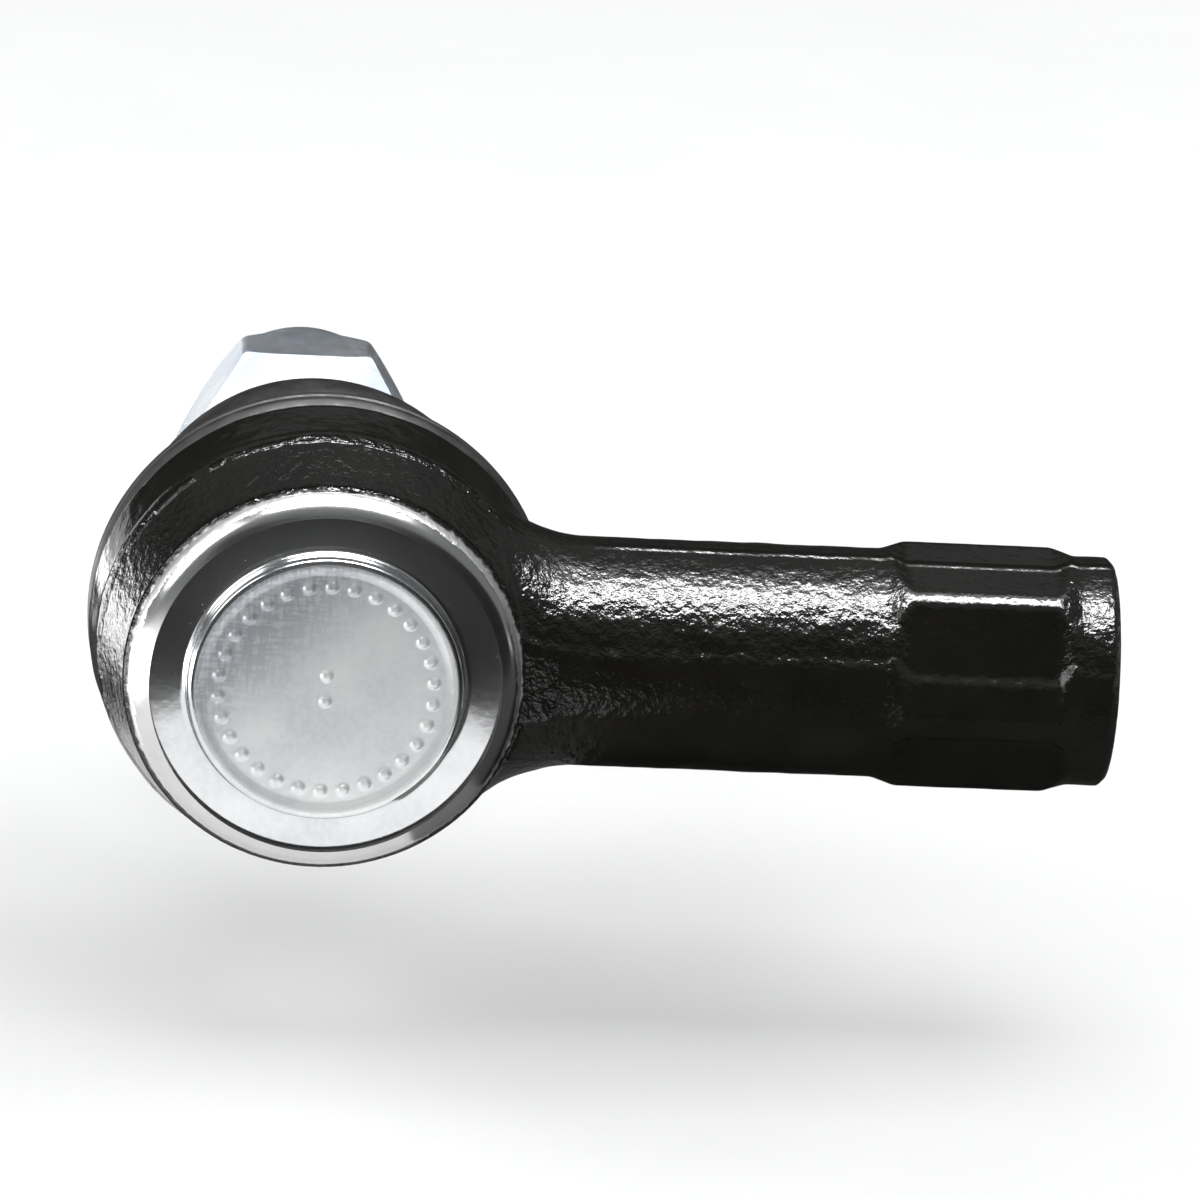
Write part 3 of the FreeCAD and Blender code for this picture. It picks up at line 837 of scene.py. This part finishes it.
def zinc_colour(look):
    """Cool grey, cloudy and mottled."""
    dark, light, bright = (0.60, 0.615, 0.63), (0.72, 0.725, 0.73), (0.80, 0.81, 0.82)
    mottle_share = 0.35
    mottle = look.ramp(look.noise(0.7, 4, 0.6), 0.3, 0.7)
    cloud = look.ramp(look.noise(7, 2), 0.3, 0.7)
    return look.mix(look.times(mottle, mottle_share), look.mix(cloud, dark, light), bright)


def painted_shade_corner(look):
    """Mask of painted shade on the face toward -X and +Z, crossed by fine rubbing marks."""
    corner_from, corner_to = 1, 13
    corner = look.math("SUBTRACT", look.along("z"), look.along("x"))
    hatch = look.times(look.noise(0.55, 2, 0.5, (0.3, 1.0, 1.5)),
                       look.noise(0.55, 2, 0.5, (1.5, 1.0, 0.3)))
    return look.times(look.fade(corner, corner_from, corner_to), look.ramp(hatch, 0.34, 0.18, 0.55, 1.0))


def zinc_sheet():
    """Zinc-plated pressed sheet, mottled and finely scratched, with painted shade over the face toward
    -X and +Z.
    """
    # The first colour is the painted shade laid over the face toward -X and +Z.
    darker_tone = (0.36, 0.37, 0.40)
    face_r = (12.6, 12.2)
    ring_gloss, face_gloss = 0.14, 0.32
    ring_metal, face_metal = 1.0, 0.72
    look = Look("zinc_sheet")
    on_face = look.fade(look.radius("y"), *face_r)
    # Painted shade: the face's colour is darkened toward -X and +Z.
    painted_shade = look.times(painted_shade_corner(look), on_face)
    look.set("Base Color", look.mix(painted_shade, zinc_colour(look), darker_tone))
    look.set("Roughness", look.ramp(on_face, 0.0, 1.0, ring_gloss, face_gloss))
    look.set("Metallic", look.ramp(on_face, 0.0, 1.0, ring_metal, face_metal))
    scratches = look.times(look.noise(0.6, 2, 0.5, (0.25, 1.0, 1.4)), on_face)
    crossing = look.times(look.noise(0.6, 2, 0.5, (1.4, 1.0, 0.25)), on_face)
    look.bumps((look.noise(1.3, 2), 0.010), (scratches, 0.006), (crossing, 0.006))
    return look.material


def zinc_nut():
    """Bright zinc plate with a blue cast."""
    blue, pale = (0.62, 0.69, 0.78), (0.80, 0.83, 0.87)
    look = Look("zinc_nut", Metallic=0.92)
    look.set("Base Color", look.mix(look.ramp(look.noise(4, 3), 0.25, 0.75), blue, pale))
    look.set("Roughness", look.ramp(look.noise(1.4, 2), 0.3, 0.7, 0.20, 0.27))
    look.bumps((look.noise(0.7, 4, 0.6), 0.006), (look.noise(3.5, 2), 0.015))
    return look.material


def steel(name, dark, light, rough):
    """Turned steel with fine lines round it."""
    rough_spread = 0.16
    look = Look(name, Metallic=1.0)
    look.set("Base Color", look.mix(look.ramp(look.noise(3, 4, 0.6), 0.3, 0.7), dark, light))
    look.set("Roughness", look.ramp(look.noise(1.1, 4, 0.6), 0.3, 0.75, rough, rough + rough_spread))
    lines = look.noise(0.3, 2, 0.5, (0.3, 3.5, 0.3))
    look.bumps((lines, 0.006), (look.noise(0.8, 3), 0.006))
    return look.material


def rubber():
    """Moulded rubber with a dusty bloom."""
    black, dusty = (0.011, 0.010, 0.0095), (0.030, 0.027, 0.025)
    look = Look("boot_rubber", IOR=1.5)
    look.set("Base Color", look.mix(look.ramp(look.noise(4.5, 5, 0.65), 0.35, 0.75), black, dusty))
    look.set("Roughness", look.ramp(look.noise(2.0, 4, 0.6), 0.3, 0.75, 0.40, 0.62))
    look.bumps((look.noise(1.8, 3), 0.03), (look.noise(0.4, 3, 0.6), 0.012))
    return look.material


def plastic(name, dark, light, rough):
    """Moulded plastic, faintly clouded and scuffed."""
    rough_spread = 0.18
    look = Look(name, Subsurface_Weight=0.08, Subsurface_Scale=0.8 * MM)
    look.set("Base Color", look.mix(look.ramp(look.noise(3.5, 3), 0.3, 0.7), dark, light))
    look.set("Roughness", look.ramp(look.noise(0.9, 4, 0.6), 0.3, 0.75, rough, rough + rough_spread))
    look.bumps((look.noise(0.6, 3, 0.6), 0.006))
    return look.material


def wear(piece, material):
    piece.data.materials.clear()
    piece.data.materials.append(material)


# ---- stage -----------------------------------------------------------------------------------
def aim(thing, at):
    """Turns a light or camera to look at a point."""
    thing.rotation_euler = (Vector(at) - thing.location).to_track_quat("-Z", "Y").to_euler()


def softbox(name, place, at, size, radiance, gloss_only=False):
    """Rectangular light of that radiance. A gloss light shows in reflections alone."""
    light = bpy.data.lights.new(name, "AREA")
    light.shape, light.size, light.size_y = "RECTANGLE", size[0], size[1]
    light.energy = radiance * math.pi * size[0] * size[1]
    lamp = bpy.data.objects.new(name, light)
    bpy.context.scene.collection.objects.link(lamp)
    lamp.location = place
    lamp.visible_diffuse = not gloss_only
    lamp.visible_camera = False
    aim(lamp, at)
    return lamp


def level_card(x, y, z):
    """Corners of a level card, from its ranges of x and y."""
    return [(x[0], y[0], z), (x[1], y[0], z), (x[1], y[1], z), (x[0], y[1], z)]


def upright_card(x, y, z):
    """Corners of a card that stands across Y, from its ranges of x and z."""
    return [(x[0], y, z[0]), (x[1], y, z[0]), (x[1], y, z[1]), (x[0], y, z[1])]


def flag(name, corners):
    """Dark card that shows in reflections alone, as a studio flag does."""
    dark, less_dark = (0.010, 0.010, 0.009), (0.016, 0.016, 0.014)
    card = new_piece(name, corners, [(0, 1, 2, 3)])
    look = Look(name, Roughness=0.9)
    look.set("Base Color", look.mix(look.noise(20), dark, less_dark))
    wear(card, look.material)
    card.visible_camera = card.visible_diffuse = card.visible_shadow = False
    return card


def floor(z):
    """Pale floor, faintly mottled."""
    half = 3.0
    darker_tone, pale = (0.80, 0.80, 0.80), (0.84, 0.84, 0.84)
    piece = new_piece("floor", level_card((-half, half), (-half, half), z), [(0, 1, 2, 3)])
    look = Look("floor", Roughness=0.85, Specular_IOR_Level=0.0)
    look.set("Base Color", look.mix(look.noise(30, 3), darker_tone, pale))
    wear(piece, look.material)
    return piece


def camera():
    """Long lens at the photograph's viewing angle."""
    azimuth, elevation, roll = math.radians(-4.8), math.radians(18.8), math.radians(3.9)
    distance = 0.9
    target = Vector((26.3, 0, 5.15)) * MM
    data = bpy.data.cameras.new("camera")
    data.sensor_width, data.lens = 36, 283.8
    data.clip_start, data.clip_end = 0.05, 20
    seen_by = bpy.data.objects.new("camera", data)
    bpy.context.scene.collection.objects.link(seen_by)
    back = Vector((math.sin(azimuth) * math.cos(elevation), -math.cos(azimuth) * math.cos(elevation),
                   math.sin(elevation)))
    right = (-back).cross(Vector((0, 0, 1))).normalized()
    up = back.cross(right)
    rolled_right = right * math.cos(roll) + up * math.sin(roll)
    rolled_up = up * math.cos(roll) - right * math.sin(roll)
    turn = Matrix((rolled_right, rolled_up, back)).transposed()
    seen_by.matrix_world = Matrix.Translation(target + back * distance) @ turn.to_4x4()
    bpy.context.scene.camera = seen_by


def world():
    """Faint cool light from everywhere."""
    made = bpy.data.worlds.new("studio")
    made.use_nodes = True
    background = made.node_tree.nodes["Background"]
    background.inputs["Color"].default_value = (0.95, 0.98, 1, 1)
    background.inputs["Strength"].default_value = 0.22
    bpy.context.scene.world = made


def room_lights():
    """Soft light overhead, two gloss lights, and four fills that make no reflection."""
    at = (0.03, 0, 0)
    softbox("overhead", (0.05, 0.0, 0.62), at, size=(0.45, 0.62), radiance=2.2)
    softbox("gloss_overhead", (0.03, -0.10, 0.59), at, size=(0.50, 0.16), radiance=34, gloss_only=True)
    softbox("gloss_left", (-0.52, -0.17, 0.35), at, size=(0.30, 0.40), radiance=4.0, gloss_only=True)
    fill_height, fill_size, fill_radiance = 0.50, (0.6, 0.6), 4.0
    for k, (x, y) in enumerate(((-0.75, -0.45), (0.80, 0.45), (0.75, -0.50), (-0.75, 0.55))):
        fill = softbox("fill_%d" % k, (x, y, fill_height), at, fill_size, fill_radiance)
        fill.visible_glossy = False


def floor_glow(name, low, high, ground, radiance):
    """Bright level patch between two corners, seen in reflections alone."""
    place = ((low[0] + high[0]) / 2, (low[1] + high[1]) / 2, ground + 0.4 * MM)
    above = (place[0], place[1], place[2] + 1)
    softbox(name, place, above, (high[0] - low[0], high[1] - low[1]), radiance, gloss_only=True)


def glows_and_flags(ground):
    """What the black paint and the cap mirror from below: bright patches among dark cards."""
    floor_glow("glow_left", (-0.30, -0.11), (-0.060, 0.14), ground, radiance=5.0)
    floor_glow("glow_front", (-0.045, -0.060), (0.026, 0.025), ground, radiance=0.15)
    level, wall = ground + 0.1 * MM, ground + 0.07
    far_left, far_right, far_top = -0.60, 0.60, 0.34
    left, middle, right = -0.045, 0.026, 0.3
    front, under_front, behind, back = -0.062, -0.028, 0.025, 0.60
    side_left, side_front = -0.070, 0.075
    under_left = 0.012
    flag("front_flag", upright_card((left, right), front, (level, wall)))
    flag("low_flag", level_card((middle, right), (front, back), level))
    flag("back_flag", level_card((left, middle), (behind, back), level))
    flag("side_flag", level_card((side_left, left), (side_front, back), level))
    flag("under_flag", level_card((under_left, middle), (under_front, behind), level))
    flag("far_flag", upright_card((far_left, far_right), back, (level, far_top)))


def studio(ground):
    """Soft light from above, with dark cards that keep the paint black."""
    world()
    room_lights()
    glows_and_flags(ground)
    bpy.context.scene.view_settings.view_transform = "Standard"


def only_for(piece, *lamps):
    """Lets those lamps light that piece alone, with nothing else in their way."""
    lit = bpy.data.collections.new("lit_" + piece.name)
    lit.objects.link(piece)
    for lamp in lamps:
        lamp.light_linking.receiver_collection = lit
        lamp.light_linking.blocker_collection = lit


def nut_lights(hex_nut):
    """Lights for the nut's face, which the socket hides from the rest, and for its left flat."""
    at = (0, 0.060, 0)
    lamps = (softbox("nut_front", (-0.05, -0.60, -0.06), at, size=(0.35, 0.22), radiance=300),
             softbox("nut_side", (-0.60, 0.05, 0.02), at, size=(0.30, 0.30), radiance=110))
    for lamp in lamps:
        lamp.visible_glossy = False
    only_for(hex_nut, *lamps)


def cap_light(cap):
    """Fill from the front for the cap."""
    at = (0, -0.014, 0)
    only_for(cap, softbox("cap_fill", (-0.05, -0.60, 0.10), at, size=(0.40, 0.30), radiance=2.0))


def dress_hidden_nodes():
    """Materials of the CAD nodes that stay as they are."""
    acetal = plastic("acetal", (0.70, 0.68, 0.61), (0.82, 0.80, 0.74), rough=0.30)
    wear(NODES["upper_bearing"], acetal)
    wear(NODES["lower_bearing"], acetal)
    disc_spring = steel("disc_spring", (0.20, 0.20, 0.22), (0.34, 0.34, 0.35), rough=0.30)
    wear(NODES["preload_spring"], disc_spring)
    wear(NODES["nut_nylon_ring"], plastic("nylon", (0.05, 0.13, 0.40), (0.09, 0.20, 0.52), rough=0.32))


def floor_height():
    """Just under the lowest point that the nut reaches at the joints' limits."""
    swing = math.radians(STUD_SWING)
    far_corner = NUT_FAR_Y + NUT_TRAVEL
    return -(far_corner * math.sin(swing) + NUT_CORNER_R * math.cos(swing) + FLOOR_GAP) * MM


def main():
    camera()
    studio(CAD_BOUNDS[0][2])
    floor(floor_height())
    wear(housing(), forged_paint())
    cap = end_cap()
    wear(cap, zinc_sheet())
    cap_light(cap)
    wear(stud(), steel("stud_steel", (0.38, 0.38, 0.37), (0.56, 0.56, 0.55), rough=0.22))
    hex_nut = nut()
    wear(hex_nut, zinc_nut())
    nut_lights(hex_nut)
    black_rubber = rubber()
    for piece in boot():
        wear(piece, black_rubber)
    spring = steel("spring_wire", (0.22, 0.22, 0.23), (0.40, 0.40, 0.41), rough=0.28)
    skirt = wire_ring("skirt_ring", "boot_lower_ring", "socket", SKIRT_GROOVE_R, SKIRT_WIRE_R)
    collar = wire_ring("collar_ring", "boot_upper_ring", "boot_collar", COLLAR_GROOVE_R, COLLAR_WIRE_R)
    for ring in (skirt, collar):
        wear(ring, spring)
    dress_hidden_nodes()


main()
